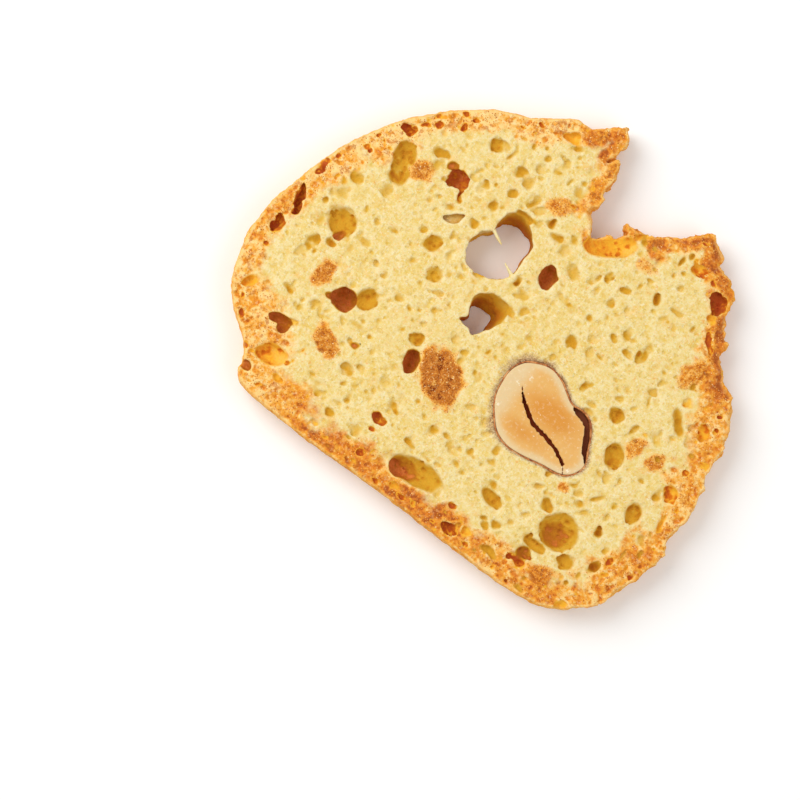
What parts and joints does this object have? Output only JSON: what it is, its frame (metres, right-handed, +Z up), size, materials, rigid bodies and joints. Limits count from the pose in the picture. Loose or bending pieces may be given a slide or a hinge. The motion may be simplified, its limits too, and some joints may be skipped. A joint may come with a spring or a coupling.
{
  "type": "cheese biscuit",
  "caption": "Thin twice-baked slice of airy cheese biscuit loaf with browned crust, open bubbles, holes right through, a torn notch and a cut almond in its own skin.",
  "frame": {"origin": "middle of the slice's box, on the face that it rests on", "axes": "+X along the loaf's flat base, +Y from the base towards the torn crown, +Z up through the slice"},
  "size_m": [0.0634, 0.0534, 0.0045],
  "materials": {
    "crumb": "dry, porous toasted crumb, pale yellow, with a golden to red-brown crust",
    "kernel": "smooth roasted nut flesh, cream at the rim and golden in the middle",
    "skin": "thin dry papery skin, brown"
  },
  "bodies": {
    "root": {"biscuit": "crumb", "almond": "kernel", "almond_skin": "skin"}
  },
  "joints": []
}
